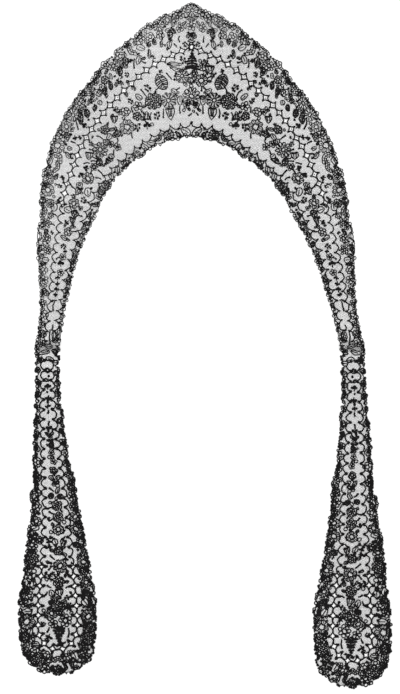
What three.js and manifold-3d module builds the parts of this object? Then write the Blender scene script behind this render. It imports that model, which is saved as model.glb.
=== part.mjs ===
// A lace collar with two lappets, in black silk bobbin lace, laid out flat. Millimetres, +Z up.
// The lace rests on the plane Z = 0. Y runs up the centre back, so the collar's point is at the
// top and the round ends of the lappets are at the bottom. X = 0 is halfway across the whole piece.
// Each piece is a wall: thin where it is net, thicker where flowers and thick outline threads are
// worked on it, cut through at the star cells and at the eyes of the large flowers.

import * as THREE from 'three';
import { mergeVertices } from 'three/addons/utils/BufferGeometryUtils.js';
import Module from 'manifold-3d';

const wasm = await Module();
wasm.setup();

// Walls and joins
const NET_THICKNESS = 1.0;
const WORK_THICKNESS = 1.5;
const SEAM_GAP = 0.3;
const CUT_ABOVE = 6;
const CUT_BELOW = -2;

// Edges and inner lines
const EDGE_SCALLOP = { pitch: 15, rise: 1.7 };
const CUSP_PITCH = 14.2;
const CUSP_LENGTH = 4.2;
const LINE_HALF_WIDTH = 1.0;
const STAR_TIP = 2.9;
const STAR_WAIST = 0.45;

// The collar, from the centre back to one end. Distances are from the collar's own centre line.
// The last three columns are shares of the way from the neck edge to the outer edge: where the
// neck border ends, where the chain of stars runs, and where the outer border of flowers begins.
const COLLAR = [
  { outerX: 0, outerY: 480, neckX: 0, neckY: 292, neckLine: 0.09, chain: 0.67, border: 0.83 },
  { outerX: 60, outerY: 449, neckX: 28, neckY: 287, neckLine: 0.1, chain: 0.665, border: 0.83 },
  { outerX: 103, outerY: 415, neckX: 49, neckY: 279, neckLine: 0.1, chain: 0.645, border: 0.82 },
  { outerX: 146, outerY: 366, neckX: 76, neckY: 262, neckLine: 0.1, chain: 0.64, border: 0.8 },
  { outerX: 174, outerY: 332, neckX: 92, neckY: 248, neckLine: 0.11, chain: 0.61, border: 0.79 },
  { outerX: 191, outerY: 299, neckX: 109, neckY: 232, neckLine: 0.12, chain: 0.595, border: 0.77 },
  { outerX: 202, outerY: 265, neckX: 121, neckY: 215, neckLine: 0.14, chain: 0.59, border: 0.76 },
  { outerX: 211, outerY: 232, neckX: 131, neckY: 197, neckLine: 0.16, chain: 0.6, border: 0.75 },
  { outerX: 217, outerY: 181, neckX: 146, neckY: 167, neckLine: 0.17, chain: 0.6, border: 0.75 },
  { outerX: 222, outerY: 131, neckX: 162, neckY: 130, neckLine: 0.19, chain: 0.58, border: 0.74 },
  { outerX: 222, outerY: 89, neckX: 175, neckY: 89, neckLine: 0.21, chain: 0.58, border: 0.74 },
  { outerX: 224, outerY: 47, neckX: 186, neckY: 47, neckLine: 0.23, chain: 0.56, border: 0.74 },
  { outerX: 229, outerY: 8, neckX: 194, neckY: 6, neckLine: 0.25, chain: 0.55, border: 0.74 },
  { outerX: 230, outerY: -8, neckX: 196, neckY: -8, neckLine: 0.26, chain: 0.54, border: 0.74 },
];
const OUTER_NET_END = 0.575;
const FIELD_END = 0.925;
const CENTRE_BACK_X = -18.4;
const LEAN = { fromY: 288, perMillimetre: 0.041 };

// The lie of the collar's end, which steps up to lap over the head of the lappet
const STEP = { startY: 8, endY: 3, segments: 4 };
const STEP_HEIGHT = WORK_THICKNESS + SEAM_GAP;

// A lappet, one row for each ROW_STEP down from its head: half its width, the distance from its
// middle to its inner lines, and where the middles of the left and right lappets lie.
const ROW_STEP = 34;
const LAPPET = [
  { half: 17, line: 6, leftX: -220.5, rightX: 207.5 },
  { half: 17, line: 6.5, leftX: -220.3, rightX: 208.5 },
  { half: 18, line: 7.5, leftX: -219.7, rightX: 209.8 },
  { half: 19.8, line: 9, leftX: -218.7, rightX: 210.3 },
  { half: 23.3, line: 10.8, leftX: -216.4, rightX: 210 },
  { half: 26.2, line: 12.5, leftX: -214.4, rightX: 209.3 },
  { half: 30.4, line: 14.2, leftX: -211.4, rightX: 208.5 },
  { half: 35, line: 16.2, leftX: -208.6, rightX: 208.3 },
  { half: 39.8, line: 18, leftX: -207.6, rightX: 209.2 },
  { half: 44.8, line: 20, leftX: -206.6, rightX: 208.6 },
  { half: 49, line: 23, leftX: -206, rightX: 207.2 },
  { half: 54.2, line: 26.5, leftX: -206, rightX: 206.6 },
  { half: 55.5, line: 27.5, leftX: -205.6, rightX: 207.2 },
];
const HEAD_Y = 2;
const TIP = { length: 72, roundness: 2.5 };
const CHAIN_TIP = { length: 36, roundness: 2.2 };
const LAPPET_FIELD_START = 62;
const STARS_START = 318;
const LAPPETS = [
  { name: 'lappet_left', middle: 'leftX', stretch: 0.962, mirror: -1 },
  { name: 'lappet_right', middle: 'rightX', stretch: 1, mirror: 1 },
];

// Flower work that stands on the collar's net: the middle bouquet, then what each side repeats
const CENTRE_MOTIFS = [
  { kind: 'fan', x: 0, y: 399, long: 26, wide: 17, turn: 90 },
  { kind: 'rosette', x: -12.5, y: 377, radius: 9.5, petals: 6 },
  { kind: 'rosette', x: 13.5, y: 372, radius: 11, petals: 5 },
  { kind: 'daisy', x: 0, y: 349, radius: 13, petals: 8 },
  { kind: 'rosette', x: 0, y: 331, radius: 8, petals: 5 },
];
const SIDE_MOTIFS = [
  { kind: 'leaf', x: 42, y: 370, long: 23, wide: 16, turn: 75 },
  { kind: 'daisy', x: 31, y: 343, radius: 10, petals: 7 },
  { kind: 'leaf', x: 32, y: 323, long: 14, wide: 9, turn: 90 },
  { kind: 'rosette', x: 54, y: 341, radius: 13, petals: 6 },
  { kind: 'leaf', x: 69, y: 351, long: 17, wide: 5, turn: 48 },
  { kind: 'rosette', x: 75, y: 331, radius: 9, petals: 5 },
  { kind: 'leaf', x: 58, y: 316, long: 15, wide: 6, turn: 75 },
  { kind: 'rosette', x: 93, y: 328, radius: 8.5, petals: 5 },
  { kind: 'rosette', x: 106, y: 313, radius: 6, petals: 4 },
  { kind: 'rosette', x: 92, y: 305, radius: 11, petals: 6 },
  { kind: 'rosette', x: 120, y: 301, radius: 7, petals: 5 },
  { kind: 'rosette', x: 107, y: 289, radius: 9, petals: 5 },
  { kind: 'daisy', x: 128, y: 275, radius: 10.5, petals: 7 },
  { kind: 'leaf', x: 144, y: 266, long: 16, wide: 9, turn: -50 },
  { kind: 'rosette', x: 148, y: 238, radius: 9.5, petals: 6 },
  { kind: 'leaf', x: 160, y: 224, long: 15, wide: 8, turn: -70 },
  { kind: 'rosette', x: 166, y: 201, radius: 8.5, petals: 5 },
  { kind: 'leaf', x: 171, y: 183, long: 14, wide: 8, turn: -70 },
  { kind: 'rosette', x: 177, y: 160, radius: 7.5, petals: 5 },
  { kind: 'leaf', x: 184, y: 139, long: 14, wide: 7, turn: -75 },
  { kind: 'rosette', x: 188, y: 117, radius: 5.5, petals: 4 },
  { kind: 'leaf', x: 193, y: 92, long: 15, wide: 5.5, turn: -80 },
];
// Buds that hang from the outer border into the net outside the chain of stars
const HANGING_BUDS = { count: 15, long: 12, wide: 5, share: 0.5 };

// Flower work down the middle of a lappet, with distances down from its head
const LAPPET_MOTIFS = [
  { kind: 'leaf', x: 0, down: 88, long: 26, wide: 6, turn: 90 },
  { kind: 'leaf', x: 0, down: 126, long: 26, wide: 10, turn: 90 },
  { kind: 'leaf', x: 0, down: 158, long: 18, wide: 10, turn: 78 },
  { kind: 'rosette', x: 0, down: 185, radius: 7, petals: 5 },
  { kind: 'leaf', x: 1, down: 208, long: 17, wide: 9, turn: 104 },
  { kind: 'leaf', x: -1, down: 234, long: 18, wide: 11, turn: 76 },
  { kind: 'rosette', x: 0, down: 270, radius: 8, petals: 6 },
  { kind: 'rosette', x: 0, down: 299, radius: 9, petals: 5 },
  { kind: 'rosette', x: -1, down: 323, radius: 10, petals: 6 },
  { kind: 'rosette', x: 0, down: 346, radius: 9, petals: 5 },
  { kind: 'leaf', x: -6, down: 364, long: 13, wide: 8, turn: 60 },
  { kind: 'leaf', x: 6, down: 364, long: 13, wide: 8, turn: 120 },
  { kind: 'rosette', x: -9, down: 386, radius: 9.5, petals: 6 },
  { kind: 'rosette', x: 9, down: 388, radius: 9.5, petals: 6 },
  { kind: 'rosette', x: 0, down: 403, radius: 9, petals: 5 },
  { kind: 'fan', x: 0, down: 424, long: 22, wide: 16, turn: -90 },
];

// Open eyes of the largest flowers in the borders
const EYE_RADIUS = 2.5;
const EYE_SIDES = 6;
const APEX_EYE = { x: 3, y: 466 };
const COLLAR_BORDER_EYES = [0.085, 0.2, 0.33, 0.47, 0.6];
const COLLAR_EYE_SHARE = 0.92;
const LAPPET_EYES = [
  { x: 0, down: 474 },
  { x: 43, down: 402 },
  { x: -42, down: 318 },
];

const SILK_BLACK = '#262324';
const SILK_ROUGHNESS = 0.55;

const point = (x, y) => new THREE.Vector2(x, y);

// A column of a table as a smooth function of the share of the way down its rows
function column(rows, name) {
  const curve = new THREE.SplineCurve(rows.map((row, index) => point(index, row[name])));
  return (share) => curve.getPoint(share).y;
}

function columns(rows) {
  return Object.fromEntries(Object.keys(rows[0]).map((name) => [name, column(rows, name)]));
}

// A smooth curve through a function of the share from one value to another
function trace(at, from, to, steps = 60) {
  const points = Array.from({ length: steps + 1 }, (_, k) => at(from + ((to - from) * k) / steps));
  const curve = new THREE.SplineCurve(points);
  curve.arcLengthDivisions = 600;
  return curve;
}

// Walks a curve in equal repeats. Each bead is a share of the repeat and how far it stands to the
// left of the curve.
function edging(curve, pitch, beads) {
  const count = Math.max(1, Math.round(curve.getLength() / pitch));
  const points = [];
  for (let repeat = 0; repeat < count; repeat += 1) {
    for (const { at, off } of beads) {
      const share = (repeat + at) / count;
      const along = curve.getTangentAt(share);
      points.push(curve.getPointAt(share).add(point(-along.y, along.x).multiplyScalar(off)));
    }
  }
  return points;
}

// A solid between two heights from the outline of its plan
function prism(outline, bottom, top) {
  const shape = new THREE.Shape(outline);
  const geometry = new THREE.ExtrudeGeometry(shape, { depth: top - bottom, bevelEnabled: false });
  return solidOf(geometry.translate(0, 0, bottom));
}

function solidOf(geometry) {
  geometry.deleteAttribute('normal');
  geometry.deleteAttribute('uv');
  const merged = mergeVertices(geometry, 1e-4);
  const vertProperties = new Float32Array(merged.attributes.position.array);
  const triVerts = new Uint32Array(merged.index.array);
  return new wasm.Manifold(new wasm.Mesh({ numProp: 3, vertProperties, triVerts }));
}

function meshOf(name, solid) {
  const { vertProperties, triVerts } = solid.getMesh();
  const geometry = new THREE.BufferGeometry();
  geometry.setAttribute('position', new THREE.BufferAttribute(vertProperties, 3));
  geometry.setIndex(new THREE.BufferAttribute(triVerts, 1));
  geometry.computeVertexNormals();
  const material = new THREE.MeshStandardMaterial({
    color: SILK_BLACK,
    roughness: SILK_ROUGHNESS,
    metalness: 0,
  });
  const mesh = new THREE.Mesh(geometry, material);
  mesh.name = name;
  return mesh;
}

const cutAll = (solid, cutters) => cutters.reduce((left, cutter) => left.subtract(cutter), solid);
const through = (outline) => prism(outline, CUT_BELOW, CUT_ABOVE);

// Plan shapes, each about its own middle and then turned and moved
function placed(outline, centre, degrees) {
  const angle = THREE.MathUtils.degToRad(degrees);
  return outline.map((corner) => corner.rotateAround(point(0, 0), angle).add(centre));
}

function roundels(radii, centre, startDegrees = 90) {
  const corner = (radius, index) => point(radius, 0)
    .rotateAround(point(0, 0), (2 * Math.PI * index) / radii.length);
  return placed(radii.map(corner), centre, startDegrees);
}

const SHAPES = {
  rosette: ({ radius, petals }) => roundels(Array(petals).fill([radius, radius * 0.8]).flat(), point(0, 0)),
  daisy: ({ radius, petals }) => roundels(Array(petals).fill([radius, radius * 0.68]).flat(), point(0, 0)),
  leaf: ({ long, wide }) => [
    point(-long / 2, 0), point(-long / 6, -wide / 2), point(long / 5, -wide / 2.4),
    point(long / 2, 0), point(long / 5, wide / 2.4), point(-long / 6, wide / 2),
  ],
  fan: ({ long, wide }) => [
    point(-long * 0.5, -wide / 6), point(-long * 0.42, -wide / 2), point(-long * 0.1, -wide * 0.42),
    point(long * 0.5, 0), point(-long * 0.1, wide * 0.42), point(-long * 0.42, wide / 2),
    point(-long * 0.5, wide / 6),
  ],
};

function motif(row, centre, turn) {
  return prism(placed(SHAPES[row.kind](row), centre, turn), CUT_BELOW, CUT_ABOVE + 1);
}

// A four-pointed cell with hollow sides, its points along and across the chain
function starCell(centre, along) {
  const radii = Array.from({ length: 8 }, (_, k) => (k % 2 ? STAR_TIP * STAR_WAIST : STAR_TIP));
  return through(roundels(radii, centre, THREE.MathUtils.radToDeg(along.angle())));
}

const eye = (centre) => through(roundels(Array(EYE_SIDES).fill(EYE_RADIUS), centre));

// --- Collar -------------------------------------------------------------------------------------

const collar = columns(COLLAR);

// A place on one half of the collar: share of the way to its end, share of the way across it
function onHalf(share, across) {
  const neck = point(collar.neckX(share), collar.neckY(share));
  return neck.lerp(point(collar.outerX(share), collar.outerY(share)), across);
}

// From the half to its place on the left (-1) or the right (1)
function onSide(side) {
  return ({ x, y }) => {
    const centre = CENTRE_BACK_X + Math.max(0, LEAN.fromY - y) * LEAN.perMillimetre;
    return point(centre + side * x, y);
  };
}

// An outline from one line of the right half out and another back, with the left half mirrored
function bothHalves(outward, back) {
  const half = [...outward, ...back];
  const left = half.filter(({ x }) => x > 1e-6).reverse();
  return [...half.map(onSide(1)), ...left.map(onSide(-1))];
}

const scallop = (rise) => [{ at: 0, off: 0 }, { at: 0.3, off: rise }, { at: 0.7, off: rise }];
const cusps = (length, width) => [
  { at: 0, off: length }, { at: 0.27, off: width }, { at: 0.73, off: width },
];

function collarOutline() {
  const outer = trace((share) => onHalf(share, 1), 0, 1);
  const neck = trace((share) => onHalf(share, 0), 0, 1);
  const outerEdge = edging(outer, EDGE_SCALLOP.pitch, scallop(EDGE_SCALLOP.rise));
  const neckEdge = edging(neck, EDGE_SCALLOP.pitch, scallop(-EDGE_SCALLOP.rise));
  return bothHalves([...outerEdge, onHalf(1, 1), onHalf(1, 0)], neckEdge.reverse());
}

// The wall as it lies, seen from the side: flat, with a step up at the ends
function lieOfCollar(width) {
  const steps = Array.from({ length: STEP.segments + 1 }, (_, k) => k / STEP.segments);
  const rise = steps.map((share) => point(
    THREE.MathUtils.lerp(STEP.startY, STEP.endY, share),
    STEP_HEIGHT * THREE.MathUtils.smoothstep(share, 0, 1),
  ));
  const end = COLLAR.at(-1).outerY - 10;
  const under = [point(COLLAR[0].outerY + 20, 0), ...rise, point(end, STEP_HEIGHT)];
  const over = under.map(({ x, y }) => point(x, y + WORK_THICKNESS)).reverse();
  const shape = new THREE.Shape([...under, ...over]);
  const geometry = new THREE.ExtrudeGeometry(shape, { depth: width, bevelEnabled: false });
  const axes = [point3(0, 1, 0), point3(0, 0, 1), point3(1, 0, 0)];
  geometry.applyMatrix4(new THREE.Matrix4().makeBasis(...axes));
  return solidOf(geometry.translate(-width / 2, 0, 0));
}

function point3(x, y, z) {
  return new THREE.Vector3(x, y, z);
}

function makeCollar() {
  const chainAt = (share) => onHalf(share, collar.chain(share));
  const upperChain = trace(chainAt, 0, OUTER_NET_END);
  const lowerChain = trace(chainAt, OUTER_NET_END, FIELD_END);
  const neckLine = trace((share) => onHalf(share, collar.neckLine(share)), 0, FIELD_END);
  const borderLine = trace((share) => onHalf(share, collar.border(share)), 0, OUTER_NET_END);

  const inward = cusps(-CUSP_LENGTH, -LINE_HALF_WIDTH);
  const outward = cusps(CUSP_LENGTH, LINE_HALF_WIDTH);
  const fieldOutside = [
    ...edging(upperChain, CUSP_PITCH, inward), ...edging(lowerChain, CUSP_PITCH, inward),
  ];
  const fieldInside = edging(neckLine, CUSP_PITCH, [
    { at: 0, off: 0 }, { at: 0.27, off: 0 }, { at: 0.5, off: CUSP_LENGTH }, { at: 0.73, off: 0 },
  ]);
  const flowerHeads = edging(borderLine, 1.4 * CUSP_PITCH, scallop(-3.5));

  const field = bothHalves(fieldOutside, fieldInside.reverse());
  const outerNet = bothHalves(edging(upperChain, CUSP_PITCH, outward), flowerHeads.reverse());

  const motifs = CENTRE_MOTIFS.map((row) => motif(row, onSide(1)(row), row.turn ?? 0));
  const eyes = [through(roundels(Array(EYE_SIDES).fill(EYE_RADIUS), onSide(1)(APEX_EYE)))];
  for (const side of [-1, 1]) {
    for (const row of SIDE_MOTIFS) {
      const turn = side < 0 ? 180 - (row.turn ?? 0) : row.turn ?? 0;
      motifs.push(motif(row, onSide(side)(row), turn));
    }
    for (let bud = 0; bud < HANGING_BUDS.count; bud += 1) {
      const share = (OUTER_NET_END * (bud + 0.5)) / HANGING_BUDS.count;
      const across = THREE.MathUtils.lerp(collar.border(share), collar.chain(share), HANGING_BUDS.share);
      const way = onHalf(share, 1).sub(onHalf(share, 0)).angle();
      const turn = THREE.MathUtils.radToDeg(side < 0 ? Math.PI - way : way);
      motifs.push(motif({ kind: 'leaf', ...HANGING_BUDS }, onSide(side)(onHalf(share, across)), turn));
    }
    for (const share of COLLAR_BORDER_EYES) {
      eyes.push(eye(onSide(side)(onHalf(share, COLLAR_EYE_SHARE))));
    }
    for (const row of SIDE_MOTIFS.filter(({ kind }) => kind === 'daisy')) {
      eyes.push(eye(onSide(side)(row)));
    }
  }
  for (const row of CENTRE_MOTIFS.filter(({ kind }) => kind === 'daisy')) {
    eyes.push(eye(onSide(1)(row)));
  }

  const stars = [];
  const starCount = Math.round(upperChain.getLength() / CUSP_PITCH);
  for (let star = 0; star < starCount; star += 1) {
    const place = upperChain.getPointAt(star / starCount);
    const along = upperChain.getTangentAt(star / starCount);
    stars.push(starCell(onSide(1)(place), along));
    if (star > 0) stars.push(starCell(onSide(-1)(place), point(-along.x, along.y)));
  }

  const nets = [field, outerNet].map((outline) => prism(outline, NET_THICKNESS, CUT_ABOVE));
  const sunk = nets.map((net) => cutAll(net, motifs));
  const width = 2 * COLLAR.at(-1).outerX + 60;
  const wall = through(collarOutline()).intersect(lieOfCollar(width));
  return cutAll(wall, [...sunk, ...stars, ...eyes]);
}

// --- Lappets ------------------------------------------------------------------------------------

const lappet = columns(LAPPET);
const SIDES_LENGTH = ROW_STEP * (LAPPET.length - 1);

function makeLappet({ middle, stretch, mirror }) {
  const onLappet = (x, down) => {
    const share = Math.min(down / SIDES_LENGTH, 1);
    return point(lappet[middle](share) + mirror * x, HEAD_Y - stretch * down);
  };
  // A line down the right of the lappet, round its end and up the left
  const roundLine = (name, from, { length, roundness }) => {
    const steps = 48;
    const right = Array.from({ length: steps }, (_, k) => {
      const down = from + ((SIDES_LENGTH - from) * k) / steps;
      return { x: lappet[name](down / SIDES_LENGTH), down };
    });
    const end = Array.from({ length: steps + 1 }, (_, k) => {
      const angle = (Math.PI * k) / steps;
      const reach = Math.abs(Math.cos(angle)) ** (2 / roundness) * Math.sign(Math.cos(angle));
      const drop = Math.sin(angle) ** (2 / roundness);
      return { x: lappet[name](1) * reach, down: SIDES_LENGTH + length * drop };
    });
    const left = right.map(({ x, down }) => ({ x: -x, down })).reverse();
    const curve = new THREE.SplineCurve([...right, ...end, ...left].map(({ x, down }) => onLappet(mirror * x, down)));
    curve.arcLengthDivisions = 900;
    return curve;
  };

  const outline = edging(roundLine('half', 0, TIP), EDGE_SCALLOP.pitch, scallop(EDGE_SCALLOP.rise));
  outline.push(onLappet(-mirror * lappet.half(0), 0));
  const chain = roundLine('line', LAPPET_FIELD_START, CHAIN_TIP);
  const field = edging(chain, CUSP_PITCH, cusps(-0.85 * CUSP_LENGTH, -LINE_HALF_WIDTH / 2));
  const motifs = LAPPET_MOTIFS.map((row) => {
    const turn = mirror < 0 ? 180 - (row.turn ?? 0) : row.turn ?? 0;
    return motif(row, onLappet(row.x, row.down), turn);
  });
  const eyes = LAPPET_EYES.map(({ x, down }) => eye(onLappet(x, down)));
  const stars = [];
  const cuspCount = Math.round(chain.getLength() / CUSP_PITCH);
  for (let cusp = 1; cusp < cuspCount; cusp += 1) {
    const place = chain.getPointAt(cusp / cuspCount);
    if (place.y < HEAD_Y - stretch * STARS_START) {
      stars.push(starCell(place, chain.getTangentAt(cusp / cuspCount)));
    }
  }
  const sunk = cutAll(prism(field, NET_THICKNESS, CUT_ABOVE), motifs);
  return cutAll(prism(outline, 0, WORK_THICKNESS), [sunk, ...stars, ...eyes]);
}

const laceCollar = new THREE.Group();
laceCollar.add(meshOf('collar', makeCollar()));
for (const row of LAPPETS) {
  laceCollar.add(meshOf(row.name, makeLappet(row)));
}

export default laceCollar;
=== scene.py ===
# A black silk bobbin-lace collar with two lappets, laid out flat on a pale table.
# The lace is built as thread: a net ground with real openings, thick outline threads (the
# cordonnet), and the closer work inside petals and leaves. Lengths are in millimetres up to each
# mesh, which is in metres, as Blender is.

import math
import bpy
import numpy as np
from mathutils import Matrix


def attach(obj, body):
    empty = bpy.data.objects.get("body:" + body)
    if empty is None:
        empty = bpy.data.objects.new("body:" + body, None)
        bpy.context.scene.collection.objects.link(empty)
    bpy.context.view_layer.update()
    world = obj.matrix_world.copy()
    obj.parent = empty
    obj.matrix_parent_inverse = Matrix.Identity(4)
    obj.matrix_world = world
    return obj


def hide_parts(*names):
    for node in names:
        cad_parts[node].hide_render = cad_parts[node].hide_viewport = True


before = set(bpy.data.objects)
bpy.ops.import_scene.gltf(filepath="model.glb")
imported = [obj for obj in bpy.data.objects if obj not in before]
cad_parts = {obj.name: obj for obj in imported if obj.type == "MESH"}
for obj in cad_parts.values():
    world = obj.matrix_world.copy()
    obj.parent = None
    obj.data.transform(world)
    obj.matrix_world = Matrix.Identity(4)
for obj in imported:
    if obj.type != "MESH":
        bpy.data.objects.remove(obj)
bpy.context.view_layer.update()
MM = 0.001

# ------------------------------------------------------------------------------ the cut of the lace

# The collar from the centre back to one end, as in the solids. Distances are from its own centre
# line, and the last three columns are shares of the way across from the neck edge.
COLLAR_COLUMNS = ("outer_x", "outer_y", "neck_x", "neck_y", "neck_line", "chain", "border")
COLLAR = [
    (0, 480, 0, 292, 0.09, 0.67, 0.83),
    (60, 449, 28, 287, 0.1, 0.665, 0.83),
    (103, 415, 49, 279, 0.1, 0.645, 0.82),
    (146, 366, 76, 262, 0.1, 0.64, 0.8),
    (174, 332, 92, 248, 0.11, 0.61, 0.79),
    (191, 299, 109, 232, 0.12, 0.595, 0.77),
    (202, 265, 121, 215, 0.14, 0.59, 0.76),
    (211, 232, 131, 197, 0.16, 0.6, 0.75),
    (217, 181, 146, 167, 0.17, 0.6, 0.75),
    (222, 131, 162, 130, 0.19, 0.58, 0.74),
    (222, 89, 175, 89, 0.21, 0.58, 0.74),
    (224, 47, 186, 47, 0.23, 0.56, 0.74),
    (229, 8, 194, 6, 0.25, 0.55, 0.74),
    (230, -8, 196, -8, 0.26, 0.54, 0.74),
]
CENTRE_BACK_X = -18.4
# Below this height the two arms lean to the right, by so much for each mm
LEAN_FROM_Y, LEAN = 288, 0.041
# Where the chain of stars and the inner lines end, as shares of the way to the collar's end
CHAIN_END, FIELD_END = 0.575, 0.925
# How far the line that goes on from the chain spreads outwards by its end
LOWER_SPREAD = 3.2

# A lappet, one row for each 34 mm down from its head
LAPPET_COLUMNS = ("half", "line", "left_x", "right_x")
LAPPET = [
    (17, 6, -220.5, 207.5), (17, 6.5, -220.3, 208.5), (18, 7.5, -219.7, 209.8),
    (19.8, 9, -218.7, 210.3), (23.3, 10.8, -216.4, 210), (26.2, 12.5, -214.4, 209.3),
    (30.4, 14.2, -211.4, 208.5), (35, 16.2, -208.6, 208.3), (39.8, 18, -207.6, 209.2),
    (44.8, 20, -206.6, 208.6), (49, 23, -206, 207.2), (54.2, 26.5, -206, 206.6),
    (55.5, 27.5, -205.6, 207.2),
]
ROW_STEP = 34
SIDES_LENGTH = ROW_STEP * (len(LAPPET) - 1)
HEAD_Y = 2
# The round ends of the cut and of the inner line: how far they reach, and how square they are
TIP_LENGTH, TIP_ROUNDNESS = 72, 2.5
CHAIN_TIP_LENGTH, CHAIN_ROUNDNESS = 36, 2.2
# Where the inner line and its stars start, down from the head
LINES_START, STARS_START = 24, 318
# The left lappet lies a little shorter
STRETCH = {"left": 0.962, "right": 1.0}
# What the filling of the borders keeps clear of the joins, and of the inner line
JOIN_CLEAR, LINE_CLEAR = 16, 6

# The net: from hole to hole, the width of its thread, and its height above the table
NET_PITCH, NET_THREAD, NET_Z = 2.0, 0.285, 0.25
# The threads that are worked on it: their widths, and how high they rise from it
CORD, FINE_CORD, STREAK = 2.0, 1.65, 1.2
CORD_RISE, FINE_RISE, STREAK_RISE = 0.7, 0.5, 0.25

# The scalloped lines: from cusp to cusp, how deep, and half the width of their thorns
CUSP_PITCH, CUSP, BARB, LAPPET_BARB = 14.3, 4.4, 1.7, 2.4
# The star cells: half their sizes, how hollow their sides are, and the share of a cell with no net
STAR_ALONG, STAR_ACROSS, STAR_HOLLOW, STAR_OPEN = 7.1, 6.0, 3.3, 0.55

# The edges: which side of its line is out, the longest scallop, the width of its thread, and how far
# inside the cut it starts
EDGE_INSET, NECK_INSET = 5.0, 3.8
OUTER_EDGE, NECK_EDGE = (1.0, 22, 1.3, EDGE_INSET), (-1.0, 16, 1.35, NECK_INSET)
LAPPET_EDGE = (-1.0, 22, 1.5, EDGE_INSET)
# A scallop's shape, as shares of its length and of its rise; the first one of an edge starts full
SCALLOP_ALONG = (0, 0.1, 0.3, 0.7, 0.9)
SCALLOP_OUT, FIRST_SCALLOP_OUT = (-0.1, 0.7, 1, 1, 0.7), (1, 1, 1, 1, 0.7)
SCALLOP_SHORTEST, SCALLOP_RISE = 0.4, (0.15, 0.28)
# The row along an edge: radius of its loops and knots, and what share are loops, or loops and knots
PICOT_RADIUS, PICOT_LOOPS, PICOT_WORKED = (1.1, 2.6), 0.55, 0.85

# How heavy the outline threads look beside their widths above. On the collar's borders this goes
# from the first weight to the second between two heights.
GARLAND_WEIGHT = 1.06
BORDER_HEIGHTS, BORDER_WEIGHTS = (220, 480), (0.92, 0.86)
NECK_HEIGHTS, NECK_WEIGHTS = (100, 250), (0.92, 1.12)
LAPPET_WEIGHT = {"left": 1.23, "right": 1.16}
# Where the threads are worn thin: left of x, above y, and the share that is left of them. The first
# row that holds a place counts.
WORN = [(-25, 270, 0.78), (45, 412, 0.78), (-25, 40, 0.81)]

# --------------------------------------------------------------------------------- flowers by place

# Flower work: its kind, x and y from the collar's centre line, its radius, its length or its length
# and width, and its turn in degrees. The collar's garland and border have a part over the centre
# back, which is made once, and a part that each half repeats.
CENTRE_GARLAND = [
    ("fir", 1, 400, (26, 20), 90), ("rose", 14, 371, 9.5), ("rings", 4, 381, 5.5),
    ("daisy", -13, 377, 9.5, 10), ("daisy", 0, 349, 12.5, 20), ("blossom", -7, 336, 5, 90),
    ("blossom", 7, 336, 5, 90), ("cluster", 3, 328, 4.4), ("shield", 26, 386, (11, 13), -90),
    ("blossom", 16, 393, 4.8, 90), ("leaf", -24, 394, (20, 5), 175), ("leaf", -20, 386, (16, 5), 165),
    ("sprig", -11, 399, 11, 120),
]
SIDE_GARLAND = [
    ("hatch", 42, 369, (24, 17), 62), ("stem", 31, 377, 11, 50), ("bud", 24, 356, (9, 7), 30),
    ("leaf", 16, 343, (13, 7), -90), ("stem", 16, 330, 11, -90), ("daisy", 32, 343, 10.8),
    ("shield", 29, 324, (16, 12), -95), ("stem", 39, 325, 12, -90), ("dense", 53, 342, 12.5),
    ("sprig", 61, 360, 11, 42), ("stem", 67, 353, 13, 50), ("leaf", 74, 348, (11, 6.5), 40),
    ("sprig", 85, 342, 9, 45), ("blossom", 75, 335, 7), ("dense", 76, 321, 6.5),
    ("shield", 63, 322, (11, 8.5), 90), ("sprig", 48, 322, 11, -100), ("stem", 57, 321, 12, -85),
    ("trefoil", 62, 307, 5.5, 90), ("sprig", 75, 306, 11, -85), ("rose", 90, 306, 11),
    ("rose", 92, 327, 7), ("blossom", 101, 327, 4.8), ("shield", 108, 316, (10, 9.5), -90),
    ("stem", 83, 294, 7, -90), ("dense", 121, 302, 7), ("stem", 128, 291, 10, 35),
    ("hatch", 104, 296, (13, 9), -30), ("leaf", 115, 292, (10, 7), -60), ("blossom", 104, 278, 5.5),
    ("blossom", 113, 282, 5), ("dense", 119, 285, 5), ("stem", 109, 271, 6, -80),
    ("daisy", 128, 274, 11), ("sprig", 140, 282, 8, 50), ("stem", 140, 273, 7, 25),
    ("shield", 144, 265, (10, 10.5), -85), ("stem", 148, 255, 9, -8), ("bud", 113, 265, (8, 6.5), 45),
    ("shield", 119, 257, (7, 7), -50), ("hatch", 130, 257, (12.5, 8), 80), ("rings", 138, 250, 5.5),
    ("trefoil", 148, 248, 4.5, 20), ("rose", 147, 234, 9), ("trefoil", 156, 238, 4.5, 60),
    ("stem", 128, 241, 11, 50), ("stem", 132, 234, 8, 25), ("leaf", 148, 215, (12.5, 8.5), 85),
    ("dense", 159, 225, 5), ("shield", 162, 215, (10, 8.5), -60), ("sprig", 168, 209, 7, 30),
    ("rose", 168, 199, 8), ("sprig", 154, 203, 10, 50), ("blossom", 159, 192, 3.8),
    ("bud", 177, 190, (10.5, 9), 30), ("dense", 167, 185, 5.6), ("shield", 171, 174, (10, 7), -80),
    ("trefoil", 179, 173, 3.8, -30), ("bud", 173, 166, (6, 4), -60), ("rose", 178, 159, 6.3),
    ("leaf", 184, 151, (10, 5.5), 40), ("sprig", 185, 139, 9, -35), ("trefoil", 183, 131, 3, 90),
    ("blossom", 187, 124, 5), ("trefoil", 190, 114, 4.8, 90), ("blossom", 191, 102, 5, 36),
    ("trefoil", 195, 94, 3.4, 90), ("trefoil", 196, 87, 3.4, -90), ("trefoil", 197, 78, 4, 90),
    ("trefoil", 199, 72, 3.6, -90), ("stem", 201, 63, 7), ("stem", 202, 55, 14, -78),
    ("stem", 205, 25, 8, -80), ("stem", 209, 12, 22, -88), ("leaf", 204, 14, (12, 5), -80),
]
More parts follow.
